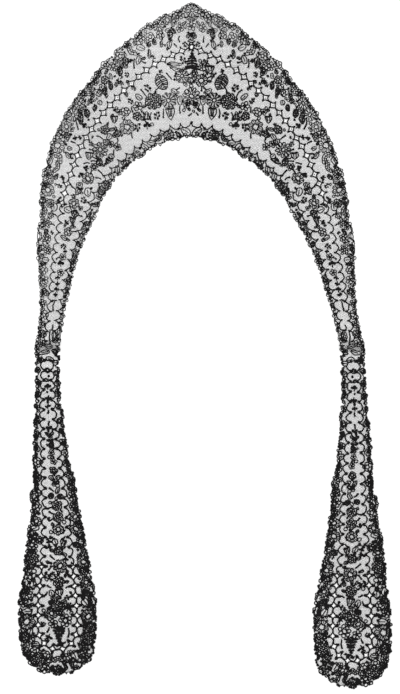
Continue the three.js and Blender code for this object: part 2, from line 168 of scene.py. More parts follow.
# Sprays that hang from the outer border into the net, and the border's own flowers
SPRAYS = [
    ("bud", 5, 433, (6, 4), -90), ("sprig", 9, 422, 8, -110), ("stem", 17, 429, 9, -90),
    ("stem", 22, 420, 7, 50), ("hatch", 30, 435, (15, 6.5), -90), ("leaf", 31, 421, (10, 6), -90),
    ("stem", 41, 434, 12, -88), ("bud", 42, 422, (9, 4), -90), ("leaf", 52, 425, (9, 5), -100),
    ("leaf", 59, 408, (13, 4), -92), ("bud", 60, 421, (7, 5), -90), ("leaf", 74, 400, (13, 7), -75),
    ("stem", 80, 395, 13, -90), ("trefoil", 85, 399, 3.5, -90), ("leaf", 92, 396, (15, 7), -92),
    ("sprig", 90, 379, 8, -80), ("hatch", 100, 384, (14, 7), -92), ("trefoil", 102, 371, 3.8, -90),
    ("hatch", 113, 364, (11.5, 6), -95), ("hatch", 121, 356, (11.5, 6.5), -85),
    ("leaf", 129, 354, (10, 6), -70), ("bud", 128, 340, (7, 6), -90),
    ("hatch", 135, 333, (9.5, 5.5), -85), ("hatch", 146, 325, (12.5, 7.5), -95),
    ("knot", 144, 316, 1.9), ("hatch", 155, 318, (17, 7.5), -88), ("trefoil", 149, 307, 4.5, 40),
    ("stem", 160, 311, 17, -102), ("trefoil", 163, 291, 3.5, -90), ("stem", 165, 284, 8, 25),
    ("bud", 171, 276, (7, 5.5)), ("leaf", 174, 266, (9.5, 5.5), -120), ("trefoil", 183, 235, 3.8, 180),
    ("sprig", 187, 223, 7, 40), ("trefoil", 191, 202, 3.8, 180), ("leaf", 196, 194, (12, 9), -85),
    ("stem", 195, 183, 7, 35), ("stem", 199, 169, 6, 30), ("trefoil", 201, 158, 2.8, 180),
]
CENTRE_BORDER = [
    ("daisy", 1, 469, 9.5), ("blossom", 0, 447, 7, 90), ("shell", 0, 457, 8, -90),
]
SIDE_BORDER = [
    ("rings", 16, 464, 7.5), ("blossom", 23, 458, 6), ("rose", 34, 456, 7.5), ("daisy", 46, 448, 8.5),
    ("rose", 58, 447, 6), ("blossom", 16, 444, 6), ("bud", 33, 441, (8, 6)), ("rose", 58, 432, 7),
    ("rings", 72, 432, 7.5), ("leaf", 71, 417, (12, 8), 20), ("shell", 84, 413, 10, -40),
    ("rings", 90, 421, 5.5), ("rose", 100, 405, 7), ("rings", 109, 391, 7), ("rose", 121, 393, 6.5),
    ("dense", 131, 380, 6), ("dense", 121, 372, 6.5), ("cluster", 134, 369, 5.5),
    ("blossom", 137, 372, 4.8), ("rings", 143, 363, 5.5), ("rings", 152, 352, 6.5),
    ("leaf", 147, 353, (14, 7)), ("rings", 141, 342, 4.2), ("daisy", 157, 339, 8.5),
    ("daisy", 166, 323, 9.5, 20), ("rose", 175, 306, 8.5), ("blossom", 182, 295, 6.5),
    ("dense", 174, 293, 5.5), ("rose", 188, 280, 11), ("blossom", 197, 269, 5),
    ("shell", 187, 263, 9.5, 150), ("shell", 190, 250, 8.5, -160), ("leaf", 199, 258, (12, 7), -60),
    ("cluster", 203, 241, 9), ("rose", 204, 218, 10), ("rings", 208, 226, 5.5),
    ("hatch", 212, 202, (13, 9), -70), ("shell", 210, 188, 8, 180), ("cluster", 208, 172, 8),
    ("blossom", 213, 166, 4.6), ("rings", 208, 150, 6.5), ("leaf", 218, 153, (11, 6), -80),
    ("cluster", 208, 134, 7.5), ("hatch", 219, 135, (14, 5.5), -72), ("bud", 211, 120, (9, 8)),
    ("rose", 215, 106, 7), ("blossom", 214, 92, 6.5), ("dense", 214, 75, 5.5), ("cluster", 217, 59, 6),
    ("rose", 216, 43, 6.5), ("cluster", 219, 30, 6), ("dense", 220, 16, 6.5), ("blossom", 221, 3, 5.5),
    ("rose", 202, 8, 4.6), ("leaf", 212, -1, (12, 6), 20),
]
# The lappets' flowers: their kind, x to the right of the middle, distance down from the head, and
# the rest as above
LAPPET_GARLAND = [
    ("rose", 0, 38, 4), ("knot", -2, 46, 1.9), ("bud", 1, 52, (6, 4), 40), ("trefoil", 0, 62, 4.4, 90),
    ("knot", 0, 70, 1.6), ("trefoil", -1, 78, 4.4, -90), ("knot", 0, 85, 2),
    ("trefoil", 0, 91, 3.6, 90), ("stem", 0, 98, 6, -75), ("stem", 0, 116, 7, 90),
    ("bud", -2, 122, (5, 3), 140), ("bud", 2, 122, (5, 3), 40), ("bud", -3, 131, (7, 3.6), 150),
    ("bud", 3, 131, (7, 3.6), 30), ("blossom", 0, 134, 4), ("bud", -2.5, 140, (5, 3), 150),
    ("bud", 2.5, 140, (5, 3), 30), ("hatch", -2, 146, (8, 5.5), 100), ("knot", -4, 152, 2.1),
    ("blossom", -1, 158, 4.4), ("bud", -2, 165, (6, 4), 60), ("blossom", -3, 171, 4.6, 36),
    ("dense", -2, 184, 6), ("leaf", -7, 194, (7, 4.6), 130), ("leaf", 2, 195, (9, 5), 60),
    ("dense", -6, 201, 3.4), ("bud", -1, 204, (6, 5), 20), ("leaf", -5, 213, (9, 5.6), 110),
    ("stem", 3, 212, 8, 40), ("hatch", -8, 222, (9, 7), 20), ("hatch", 5, 221, (8, 7), 150),
    ("dense", -2, 235, 8), ("dense", -3, 252, 8), ("stem", 6, 246, 7, 30), ("rose", -3, 270, 8.6),
    ("stem", -10, 282, 7, -40), ("knot", 8, 281, 2.4), ("shield", -9, 290, (10, 8), -70),
    ("leaf", 2, 288, (9.5, 8), 60), ("trefoil", 9, 295, 3.8), ("dense", -2, 301, 7),
    ("stem", 6, 311, 9, 40), ("trefoil", -12, 314, 3.8, 90), ("rose", -4, 323, 10), ("knot", 8, 319, 2),
    ("knot", 9, 324, 1.8), ("trefoil", 10, 338, 4, 20), ("trefoil", -13, 331, 3.4, 160),
    ("dense", -2, 346, 9), ("stem", -14, 354, 7, 160), ("stem", 11, 353, 8, 30),
    ("shield", -3, 362, (11, 11), -100), ("leaf", 8, 363, (9.5, 7.5), 70), ("sprig", -13, 370, 9, 150),
    ("trefoil", -15, 386, 4.5, 120), ("rings", -11, 402, 9.5), ("daisy", 1, 381, 8.5),
    ("blossom", -9, 377, 5), ("hatch", 9, 376, (8, 6), 30), ("rings", -4, 391, 5.5),
    ("rose", 8, 392, 8), ("blossom", 6, 407, 7), ("trefoil", 17, 394, 4),
    ("fir", -2, 425, (24, 17), -90), ("stem", -15, 420, 13, -90), ("trefoil", 13, 425, 3.8, -60),
    ("stem", 13, 415, 8, -70),
]
LAPPET_BORDER = [
    ("leaf", 4, 12, (15, 6), -12), ("rose", -11, 11, 4.6), ("leaf", -4, 22, (12, 6), 22),
    ("rings", 10, 23, 5), ("bud", -12, 27, (9, 7)), ("dense", 13, 38, 4.6), ("dense", -13, 42, 4.6),
    ("rose", 13, 55, 4.6), ("dense", -14, 57, 4.8), ("rose", 14, 73, 4.6), ("blossom", 15, 92, 4.4),
    ("dense", 16, 112, 4.8), ("cluster", 17, 131, 5.2), ("dense", 19, 152, 5.4), ("rose", 19, 172, 7.2),
    ("dense", 22, 194, 6.4), ("blossom", 24, 216, 6), ("rose", 26, 236, 7), ("rose", 28, 258, 8),
    ("rings", 24, 285, 6.3), ("leaf", 36, 273, (12, 7), 70), ("rings", 34, 292, 8),
    ("dense", 35, 312, 10.5), ("blossom", 37, 334, 9), ("bud", 34, 350, (11, 10), 90),
    ("leaf", 45, 347, (11, 8), 90), ("rose", 39, 366, 7), ("blossom", 47, 377, 7),
    ("rose", 43, 404, 12.5), ("dense", 46, 426, 8.5), ("shell", 44, 440, 9, 180),
    ("leaf", 31, 436, (12, 6), 190), ("dense", 27, 460, 11), ("hatch", 42, 450, (12, 7), -50),
    ("blossom", 17, 473, 7), ("daisy", 0, 475, 7.5), ("shell", 0, 459, 9, 90),
    ("shell", -23, 469, 8.5, -60), ("leaf", -24, 453, (15, 10), -120), ("rose", -40, 456, 8),
    ("cluster", -43, 428, 11), ("rose", -43, 396, 10.5), ("leaf", -39, 376, (13, 9), 60),
    ("hatch", -41, 362, (13, 8), 30), ("rose", -40, 347, 8), ("cluster", -37, 334, 7),
    ("rose", -37, 317, 9.5), ("shell", -36, 301, 8, 180), ("hatch", -27, 292, (10, 8), 45),
    ("leaf", -36, 287, (10, 8)), ("rose", -28, 269, 9.5), ("rose", -27, 251, 8.5),
    ("rings", -25, 236, 6), ("blossom", -24, 222, 7), ("dense", -24, 208, 6.4),
    ("cluster", -22, 190, 6.4), ("blossom", -20, 173, 5.4), ("dense", -19, 158, 5.2),
    ("rose", -18, 143, 5.4), ("hatch", -17, 127, (9, 6), 70), ("rose", -15, 112, 5),
    ("blossom", -15, 90, 4.4), ("rose", -14, 72, 4.6),
]
# What fills the gaps of the borders: kinds, radius from and to, tries for each metre of border
FILLING = [
    (("rose", "shell", "leaf", "daisy"), 5.4, 7.8, 900),
    (("blossom", "bud", "hatch", "rose"), 3.4, 4.8, 1500),
    (("loop", "loop", "knot", "trefoil"), 1.9, 2.8, 2300),
]

# How near motifs may come to each other, as a share of their two radii: 1 where they touch
OUTER_PACKING, NECK_PACKING, LAPPET_PACKING, GROWN_PACKING = 0.82, 0.86, 0.68, 0.74
# What grows from the flowers of a garland: its sizes as shares of its radius, that radius, and how
# far it keeps from the rim of its field
GROWN = {"leaf": (2.3, 1.3), "bud": (2, 1.3), "sprig": (2.3,), "trefoil": (1,), "loop": (1,),
         "stem": (2.2,)}
GROWN_RADIUS, GROWN_CLEAR = (1.9, 3.6), 3

# Old fold marks: middle x and y, how far they run to each side, their turn in degrees, their height
CREASES = [
    (40, 389, 45, 0, 0.5),
    (134, 228, 44, 0, 0.5),
    (219, -368, 26, 0, 0.5),
    (-172, 228, 30, 1, 0.5),
]
CREASE_WIDTH, CREASE_PULL = 2.4, 0.75
# The height of the swells in lace that lies untouched, and how far from the joins they fade in
SWELL_RISE, SWELL_FADE = 0.11, 40
# The collar's ends climb over the lappets' heads: below which height, over what run, and how high
LAP_FROM_Y, LAP_RUN, LAP_RISE = 8, 5, 1.8
STITCHES = 12

rng = np.random.default_rng(1860)


# -------------------------------------------------------------------------------- curves and places

def smooth(rows, share):
    """Catmull-Rom through the rows of a table, at shares of the way down it."""
    rows = np.asarray(rows, float)
    place = np.clip(np.atleast_1d(share), 0, 1) * (len(rows) - 1)
    row = np.minimum(place.astype(int), len(rows) - 2)
    t = (place - row)[:, None]
    p = [rows[np.clip(row + k, 0, len(rows) - 1)] for k in (-1, 0, 1, 2)]
    v0, v1 = (p[2] - p[0]) / 2, (p[3] - p[1]) / 2
    bend = (2 * p[1] - 2 * p[2] + v0 + v1) * t + (-3 * p[1] + 3 * p[2] - 2 * v0 - v1)
    return bend * t * t + v0 * t + p[1]


def collar_column(name, share):
    """One column of the collar's table, at shares of the way from the centre back to the end."""
    return smooth(COLLAR, share)[:, COLLAR_COLUMNS.index(name)]


def on_half(share, across):
    """A place on one half of the collar: share of the way to its end, and of the way across."""
    row = smooth(COLLAR, share)
    across = np.broadcast_to(across, len(row))[:, None]
    return row[:, 2:4] * (1 - across) + row[:, 0:2] * across


def collar_side(side):
    """From a half of the collar to its place on the left (-1) or right (1)."""
    def place(points):
        points = np.atleast_2d(points)
        centre = CENTRE_BACK_X + np.maximum(0, LEAN_FROM_Y - points[:, 1]) * LEAN
        return np.column_stack([centre + side * points[:, 0], points[:, 1]])
    return place


def lappet_side(name):
    """From a lappet's own (across, down) to its place; the left one mirrors the right one."""
    column = LAPPET_COLUMNS.index(name + "_x")
    mirror = 1 if name == "right" else -1

    def place(points):
        points = np.atleast_2d(points)
        middle = smooth(LAPPET, points[:, 1] / SIDES_LENGTH)[:, column]
        return np.column_stack([middle + mirror * points[:, 0], HEAD_Y - STRETCH[name] * points[:, 1]])
    return place


class Line:
    """A curve through many points, walked by its length."""

    def __init__(self, points):
        self.points = np.asarray(points, float)
        steps = np.linalg.norm(np.diff(self.points, axis=0), axis=1)
        self.reach = np.concatenate([[0], np.cumsum(steps)])
        self.length = self.reach[-1]

    def at(self, share):
        """Places on the curve, at shares of its length."""
        along = np.atleast_1d(share) * self.length
        return np.column_stack([np.interp(along, self.reach, self.points[:, k]) for k in (0, 1)])

    def normal(self, share):
        """Which way is left of the curve, looking along it."""
        near = 0.6 / self.length
        share = np.atleast_1d(share)
        step = self.at(np.minimum(share + near, 1)) - self.at(np.maximum(share - near, 0))
        step /= np.linalg.norm(step, axis=1)[:, None]
        return np.column_stack([-step[:, 1], step[:, 0]])

    def beside(self, share, off):
        """Places to the left of the curve by so many mm, or to its right where that is negative."""
        off = np.broadcast_to(off, np.atleast_1d(share).shape)
        return self.at(share) + self.normal(share) * off[:, None]


def collar_line(column, start, end):
    """A line down one half of the collar, at a column of its table or at a fixed share across."""
    share = np.linspace(start, end, 400)
    across = column if isinstance(column, float) else collar_column(column, share)
    return Line(on_half(share, across))


def lappet_line(column, start, tip_length, roundness):
    """Down the right of a lappet, round its end and up the left."""
    down = np.linspace(start, SIDES_LENGTH, 260, endpoint=False)
    half = smooth(LAPPET, down / SIDES_LENGTH)[:, LAPPET_COLUMNS.index(column)]
    angle = np.linspace(0, math.pi, 200)
    widest = LAPPET[-1][LAPPET_COLUMNS.index(column)]
    reach = widest * np.sign(np.cos(angle)) * np.abs(np.cos(angle)) ** (2 / roundness)
    drop = SIDES_LENGTH + tip_length * np.sin(angle) ** (2 / roundness)
    right = np.column_stack([half, down])
    left = np.column_stack([-half, down])[::-1]
    return Line(np.vstack([right, np.column_stack([reach, drop]), left]))


def inside(points, outline):
    """Which points lie inside a closed outline."""
    x, y = points[:, 0], points[:, 1]
    odd = np.zeros(len(points), bool)
    for (x0, y0), (x1, y1) in zip(outline, np.roll(outline, -1, axis=0)):
        if y1 != y0:
            crosses = (y0 > y) != (y1 > y)
            odd ^= crosses & (x < (x1 - x0) * (y - y0) / (y1 - y0) + x0)
    return odd


def from_crease(points, cx, cy, reach, turn):
    """How far points lie across a crease, a share that falls from 1 at its middle to 0 at its ends,
    and one that falls from 1 on it to 0 beside it."""
    x, y = points[:, 0], points[:, 1]
    across = (y - cy) - math.tan(math.radians(turn)) * (x - cx)
    return across, np.clip(1 - ((x - cx) / reach) ** 2, 0, 1), np.exp(-(across / CREASE_WIDTH) ** 2)


def fold_in(points):
    """Old fold marks draw the threads on both sides of them together."""
    for *crease, _ in CREASES:
        across, along, near = from_crease(points, *crease)
        points[:, 1] -= CREASE_PULL * across * along ** 0.5 * near


def lie(points, on_collar):
    """How high the lace lies, in mm: soft uneven swells, old fold marks, and the step where the
    collar's end laps over the head of the lappet."""
    x, y = points[:, 0], points[:, 1]
    # three waves that never repeat together, lifted so that the lowest place touches the table
    swell = (np.sin(x / 31 + 0.6 * np.sin(y / 47)) + np.sin(y / 38 + x / 90 + 1.3)
             + 0.6 * np.sin((x + y) / 23 + 2.1) + 2.6) * SWELL_RISE
    height = swell * np.clip(np.abs(y - HEAD_Y) / SWELL_FADE, 0, 1)
    for *crease, rise in CREASES:
        _, along, near = from_crease(points, *crease)
        height = height + rise * along * near
    if on_collar:
        climb = np.clip((LAP_FROM_Y - y) / LAP_RUN, 0, 1)
        height = height + LAP_RISE * climb * climb * (3 - 2 * climb)
    return height


# ------------------------------------------------------------------------- small units

def take_unit():
    """The active object's points and triangles, after which the object is removed."""
    bpy.ops.mesh.select_all(action="SELECT")
    bpy.ops.mesh.quads_convert_to_tris()
    bpy.ops.object.mode_set(mode="OBJECT")
    unit = bpy.context.object
    points = np.array([v.co[:] for v in unit.data.vertices])
    faces = np.array([p.vertices[:] for p in unit.data.polygons])
    bpy.data.objects.remove(unit)
    return points, faces


def keep_upper_half():
    """Cuts away all that lies under the net, from the shape in edit mode."""
    bpy.ops.mesh.select_all(action="SELECT")
    bpy.ops.mesh.bisect(plane_co=(0, 0, 0.001), plane_no=(0, 0, 1), clear_inner=True)


def knot_unit():
    """A low round knot of wound thread: the upper half of a ball, pressed down."""
    pressed = 0.6
    bpy.ops.object.select_all(action="DESELECT")
    bpy.ops.mesh.primitive_uv_sphere_add(segments=7, ring_count=4, radius=1)
    bpy.ops.object.mode_set(mode="EDIT")
    keep_upper_half()
    bpy.ops.mesh.select_all(action="SELECT")
    bpy.ops.transform.resize(value=(1, 1, pressed))
    return take_unit()


def thorn_unit():
    """A thorn that lies along +x from 0 to 1: half of a cone, wide and round at its root."""
    bpy.ops.object.select_all(action="DESELECT")
    bpy.ops.mesh.primitive_cone_add(vertices=8, radius1=1, radius2=0.5, depth=1,
                                    location=(0.5, 0, 0), rotation=(0, math.pi / 2, 0))
    bpy.ops.object.transform_apply(location=True, rotation=True)
    bpy.ops.object.mode_set(mode="EDIT")
    keep_upper_half()
    return take_unit()


def stitch_unit():
    """One oversewing stitch along y: a thread whose two ends dip into the lace."""
    thread, long, bend_at, dip = 0.18, 3.0, 1.0, 0.7
    bpy.ops.object.select_all(action="DESELECT")
    along_y = (math.pi / 2, 0, 0)
    bpy.ops.mesh.primitive_cylinder_add(vertices=6, radius=thread, depth=long, rotation=along_y)
    bpy.ops.object.transform_apply(rotation=True)
    bpy.ops.object.mode_set(mode="EDIT")
    for y in (bend_at, -bend_at):
        bpy.ops.mesh.select_all(action="SELECT")
        bpy.ops.mesh.bisect(plane_co=(0, y, 0), plane_no=(0, 1, 0))
    bpy.ops.object.mode_set(mode="OBJECT")
    for vertex in bpy.context.object.data.vertices:
        if abs(vertex.co.y) > bend_at + 0.1:
            vertex.co.z -= dip
    bpy.ops.object.mode_set(mode="EDIT")
    return take_unit()


KNOT, THORN, STITCH = knot_unit(), thorn_unit(), stitch_unit()

# ---------------------------------------------------------------------------------------- lace thread

# A piece's material slots
NET, CLOSE_WORK, OUTLINE = 0, 1, 2


class Lace:
    """Collects the threads of one piece of lace, and makes one mesh of them."""

    def __init__(self):
        self.points, self.faces, self.count = [], [], 0

    def add(self, points, faces, material):
        self.points.append(points)
        self.faces.append((faces + self.count, material))
        self.count += len(points)

    def thread(self, points, width, rise, closed=False, material=OUTLINE):
        """A thread along some points: two long faces that meet in a crest."""
        n = len(points)
        if closed:
            step = np.roll(points, -1, axis=0) - np.roll(points, 1, axis=0)
        else:
            step = np.gradient(points, axis=0)
        step = step / np.maximum(np.linalg.norm(step, axis=1)[:, None], 1e-6)
        aside = np.column_stack([-step[:, 1], step[:, 0]]) * (np.broadcast_to(width, n)[:, None] / 2)
        solid = np.empty((3 * n, 3))
        solid[0::3, :2], solid[1::3, :2], solid[2::3, :2] = points + aside, points, points - aside
        solid[:, 2] = NET_Z
        solid[1::3, 2] = NET_Z + rise
        i = 3 * np.arange(n if closed else n - 1)
        j = (i + 3) % (3 * n)
        self.add(solid, np.vstack([np.column_stack([i, i + 1, j + 1, j]),
                                   np.column_stack([i + 1, i + 2, j + 2, j + 1])]), material)

    def stamp(self, unit, x, y, size, turn):
        """A copy of a small unit, sized along, across and up, and turned."""
        points = unit[0] * size
        points[:, :2] = turned(points[:, :2], turn) + [x, y]
        points[:, 2] += NET_Z
        self.add(points, unit[1], OUTLINE)

    def mesh(self, name, on_collar, materials):
        """The piece itself, laid on the table."""
        points = np.vstack(self.points)
        fold_in(points)
        points[:, 2] += lie(points, on_collar)
        mesh = bpy.data.meshes.new(name)
        mesh.vertices.add(len(points))
        mesh.vertices.foreach_set("co", (points * MM).astype(np.float32).ravel())
        corners = np.concatenate([faces.ravel() for faces, _ in self.faces])
        mesh.loops.add(len(corners))
        mesh.loops.foreach_set("vertex_index", corners.astype(np.int32))
        sizes = np.concatenate([np.full(len(faces), faces.shape[1]) for faces, _ in self.faces])
        starts = np.concatenate([[0], np.cumsum(sizes)[:-1]])
        slots = np.concatenate([np.full(len(faces), slot) for faces, slot in self.faces])
        mesh.polygons.add(len(sizes))
        mesh.polygons.foreach_set("loop_start", starts.astype(np.int32))
        mesh.polygons.foreach_set("material_index", slots.astype(np.int32))
        mesh.update(calc_edges=True)
        mesh.validate()
        for material in materials:
            mesh.materials.append(material)
        piece = bpy.data.objects.new(name, mesh)
        bpy.context.scene.collection.objects.link(piece)
        return piece


def net(outline, holes, pitch, thread):
    """Hexagonal net inside an outline and outside its holes, as flat thread with real openings.
    Returns its points, its straight stretches and its crossings."""
    ring_size = pitch / math.sqrt(3)
    row_step = pitch * math.sqrt(0.75)
    low, high = outline.min(0) - pitch, outline.max(0) + pitch
    rows = int((high[1] - low[1]) / row_step) + 2
    cols = int((high[0] - low[0]) / pitch) + rows // 2 + 3
    j, i = np.meshgrid(np.arange(rows), np.arange(cols), indexing="ij")
    i = i - rows // 2
    centre = np.stack([low[0] + pitch * (i + j / 2), low[1] + row_step * j], axis=-1)
    flat = centre.reshape(-1, 2)
    box = ((flat > low) & (flat < high)).all(1)
    keep = np.zeros(len(flat), bool)
    keep[box] = inside(flat[box], outline)
    for hole in holes:
        near = np.flatnonzero(keep)
        near = near[np.abs(flat[near] - hole.mean(0)).max(1) < STAR_ALONG]
        keep[near] &= ~inside(flat[near], hole)
    present = keep.reshape(rows, cols)
    # a cell owns its upper and its upper right corner, and shares the other four of its neighbours;
    # the threads cross a little unevenly
    uneven = 0.07 * pitch
    corner_of = {"up": centre + [0, ring_size] + rng.normal(0, uneven, centre.shape),
                 "side": centre + [pitch / 2, ring_size / 2] + rng.normal(0, uneven, centre.shape)}
    owners = {30: ("side", 0, 0), 90: ("up", 0, 0), 150: ("side", 0, -1),
              210: ("up", -1, 0), 270: ("side", -1, 0), 330: ("up", -1, 1)}
    corners = []
    for degrees, (name, dj, di) in owners.items():
        angle = math.radians(degrees)
        inward = np.array([math.cos(angle), math.sin(angle)]) * (thread / math.sqrt(3))
        corners.append((np.roll(corner_of[name], (-dj, -di), axis=(0, 1)) - inward)[present])
    points = np.stack(corners, axis=1).reshape(-1, 2)
    number = -np.ones((rows, cols), int)
    number[present] = np.arange(present.sum())
    slot_of = {degrees: k for k, degrees in enumerate(owners)}

    def joined(*cells):
        """Faces between cells that are all there, from (row step, column step, corner) triples."""
        there = present.copy()
        for dj, di, _ in cells:
            there &= np.roll(present, (-dj, -di), axis=(0, 1))
        return np.column_stack([(np.roll(number, (-dj, -di), axis=(0, 1)) * 6 + slot_of[d])[there]
                                for dj, di, d in cells])

    stretches = np.vstack([joined((0, 0, 330), (0, 1, 210), (0, 1, 150), (0, 0, 30)),
                           joined((0, 0, 30), (1, 0, 270), (1, 0, 210), (0, 0, 90)),
                           joined((0, 0, 90), (1, -1, 330), (1, -1, 270), (0, 0, 150))])
    crossings = np.vstack([joined((0, 0, 30), (0, 1, 150), (1, 0, 270)),
                           joined((0, 0, 90), (1, 0, 210), (1, -1, 330))])
    return points, stretches, crossings


def add_net(lace, points, faces_list, choose):
    """Adds to a piece those faces of a net whose middles are chosen, with only their points."""
    for faces in faces_list:
        mine = faces[choose(points[faces].mean(1))]
        used, places = np.unique(mine, return_inverse=True)
        flat = np.column_stack([points[used], np.full(len(used), NET_Z)])
        lace.add(flat, places.reshape(mine.shape), NET)


# --------------------------------------------------------------------------------------------- motifs

# A motif is a list of threads and stamped units round its own middle, and a long one points along +x.
# The sizes it is given are its radius, its length or its length and width. In its function a share is
# multiplied by one of these, and widths of thread, and gaps, are in millimetres.

def turned(points, degrees):
    c, s = math.cos(math.radians(degrees)), math.sin(math.radians(degrees))
    return points @ np.array([[c, s], [-s, c]])


def line(points, width=FINE_CORD, rise=FINE_RISE, closed=False, material=OUTLINE):
    points = np.asarray(points, float)
    return dict(points=points, width=width, rise=rise, closed=closed, material=material)


def streak(points, width=STREAK):
    """A low thread of the closer work inside a petal or a leaf."""
    return line(points, width, STREAK_RISE, material=CLOSE_WORK)


def stamp(unit, x, y, size, turn=0.0):
    return dict(unit=unit, points=np.array([[x, y]], float), size=size, turn=turn)


def ring(radius, steps, x=0.0, y=0.0, other=None):
    """A round, or an oval where it has another radius along y."""
    angle = np.linspace(0, 2 * math.pi, steps, endpoint=False)
    return np.column_stack([x + radius * np.cos(angle), y + (other or radius) * np.sin(angle)])


def scalloped(radius, lobes, depth, start=0.0):
    """A ring of round lobes whose cusps point inwards."""
    steps = 4
    t = np.arange(lobes * steps) / steps
    reach = radius * (1 - depth + depth * np.sin(math.pi * (t % 1)) ** 0.7)
    angle = 2 * math.pi * (t + start) / lobes
    return np.column_stack([reach * np.cos(angle), reach * np.sin(angle)])


def spokes(inner, outer, count, start=0.0):
    """The inner and outer end of each of some rays, of which start is the first one's place."""
    for k in range(count):
        angle = 2 * math.pi * (k + start) / count
        yield np.array([[inner * math.cos(angle), inner * math.sin(angle)],
                        [outer * math.cos(angle), outer * math.sin(angle)]])


def moved(parts, x, y, turn=0.0):
    """The parts of a motif, turned round its middle and put in its place."""
    return [dict(part, points=turned(part["points"], turn) + [x, y], turn=part.get("turn", 0) + turn)
            for part in parts]


def rose_rim(radius):
    """A rose's scalloped rim, with a petal for about every 8 mm of it, and how many petals there are."""
    lobes = max(5, round(0.75 * radius))
    return line(scalloped(radius - 0.5, lobes, 0.22), FINE_CORD, closed=True), lobes


def rose(radius):
    """A rim of petals round an open eye, parted by ribs, with streaks in them where it is large."""
    rim, lobes = rose_rim(radius)
    parts = [rim]
    if radius > 5.2:
        parts += [line(run, 1.5) for run in spokes(0.42 * radius, 0.8 * radius, lobes)]
    if radius > 7.2:
        parts += [streak(run, 1.1) for run in spokes(0.48 * radius, 0.84 * radius, lobes, 0.5)]
    parts.append(line(scalloped(0.38 * radius, 5, 0.12), 1.0 + 0.08 * radius, closed=True))
    return parts


def dense(radius):
    """A rose filled with close work, through which only small openings show."""
    return cluster(0.88 * radius) + [rose_rim(radius)[0]]


def rings(radius):
    """A flower of small open loops round a ring."""
    count = 7 if radius > 6 else 6
    parts = [line(ring(0.32 * radius, 8), 1.4, closed=True)]
    for middle, _ in spokes(0.7 * radius, radius, count):
        parts.append(line(ring(0.28 * radius, 7, *middle), 1.5, closed=True))
    return parts


def daisy(radius):
    """Long petals round an open eye: outlined where they are large, and else solid with a rim."""
    parts = [line(ring(0.27 * radius, 8), 1.9, closed=True)]
    if radius < 11:
        petals, turn = 11, 0.2
        tapered = radius * np.array([0.13, 0.2, 0.24, 0.12])
        for root, tip in spokes(0.36 * radius, 0.94 * radius, petals, turn):
            parts.append(line(root + (tip - root) * np.linspace(0, 1, 4)[:, None], tapered))
        parts.append(line(scalloped(1.02 * radius, petals, 0.2, turn - 0.5), 1.2, closed=True))
        return parts
    petals = 10
    petal = np.array([[0.38, 0], [0.6, 0.13], [0.88, 0.17], [1, 0], [0.88, -0.17], [0.6, -0.13]])
    for k in range(petals):
        parts.append(line(turned(petal * radius, 360 * (k + 0.2) / petals), 1.6, closed=True))
    return parts


def blossom(radius):
    """Five round petals and a knot."""
    parts = knot(0.22 * radius)
    for middle, _ in spokes(0.6 * radius, radius, 5):
        parts.append(line(ring(0.36 * radius, 7, *middle), min(1.55, 0.27 * radius), closed=True))
    return parts


def leaf_outline(long, wide, point=0.9):
    """The outline of a leaf, whose ends are the more pointed the larger point is."""
    t = np.linspace(0, math.pi, 7)
    side = np.column_stack([-long / 2 * np.cos(t), wide / 2 * np.sin(t) ** point])
    return np.vstack([side, side[::-1][1:-1] * [1, -1]])


def leaf(long, wide):
    """An open leaf with a vein."""
    return [line(leaf_outline(long, wide), 1.5, closed=True),
            line([[-0.4 * long, 0], [0.25 * long, 0]], 1.3)]


def hatch(long, wide):
    """A pointed leaf with a vein, filled with slanting streaks."""
    streaks_apart = 2.7
    parts = [line(leaf_outline(long, wide, 1.35), closed=True),
             line([[-0.5 * long, 0], [0.5 * long, 0]], 1.4)]
    for x in np.arange(-0.36 * long, 0.38 * long, streaks_apart):
        room = 0.5 * wide * (1 - (2 * x / long) ** 2) ** 0.85
        parts.append(streak([[x - 1.4, -room], [x + 0.8, 0], [x - 1.4, room]], 1.9))
    return parts


def shield(long, wide):
    """A leaf with a thick straight head and a pointed end."""
    half = wide / 2
    side = np.array([[-0.5, 1], [-0.1, 0.9], [0.28, 0.45], [0.5, 0]]) * [long, half]
    outline = np.vstack([side, side[-2::-1] * [1, -1]])
    parts = [line(outline), line([[-0.5 * long, -half], [-0.44 * long, 0], [-0.5 * long, half]], 2.6)]
    for y in np.linspace(-0.42, 0.42, 3 if long > 13 else 2) * half:
        parts.append(streak([[-0.4 * long, y], [0.22 * long, 0.5 * y]], 1.5))
    return parts


def fir(long, wide):
    """A dark pointed leaf in tiers, like a little fir tree."""
    parts = []
    tiers_apart = 3.5
    tiers = int(long / tiers_apart)
    for k in range(tiers):
        x = long * (-0.46 + 0.92 * k / tiers)
        room = wide / 2 * (1 - (k / tiers) ** 1.15) + 0.8
        parts.append(line([[x - 1.2, -room], [x + 1.2, 0], [x - 1.2, room]], 2.7))
    parts.append(line([[-long / 2, 0], [long / 2, 0]], 2.0))
    return parts


def shell(radius):
    """Half a flower: spread petals in bands, like a shell."""
    parts = []
    for share, width in ((1, 1.6), (0.66, 1.4), (0.34, 1.4)):
        angle = np.linspace(-0.5 * math.pi, 0.5 * math.pi, 8)
        reach = share * radius * (1 - 0.08 * np.cos(angle * 8))
        band = np.column_stack([reach * np.cos(angle) - radius / 2, reach * np.sin(angle)])
        parts.append(line(band, width))
    for angle in np.linspace(-75, 75, 6):
        run = turned(np.array([[0.4 * radius, 0], [0.97 * radius, 0]]), angle) - [radius / 2, 0]
        parts.append(streak(run, 1.2))
    return parts


def bud(long, wide):
    """An oval with one streak in it."""
    return [line(ring(long / 2, 8, other=wide / 2), 1.5, closed=True),
            streak([[-0.3 * long, 0], [0.3 * long, 0]])]


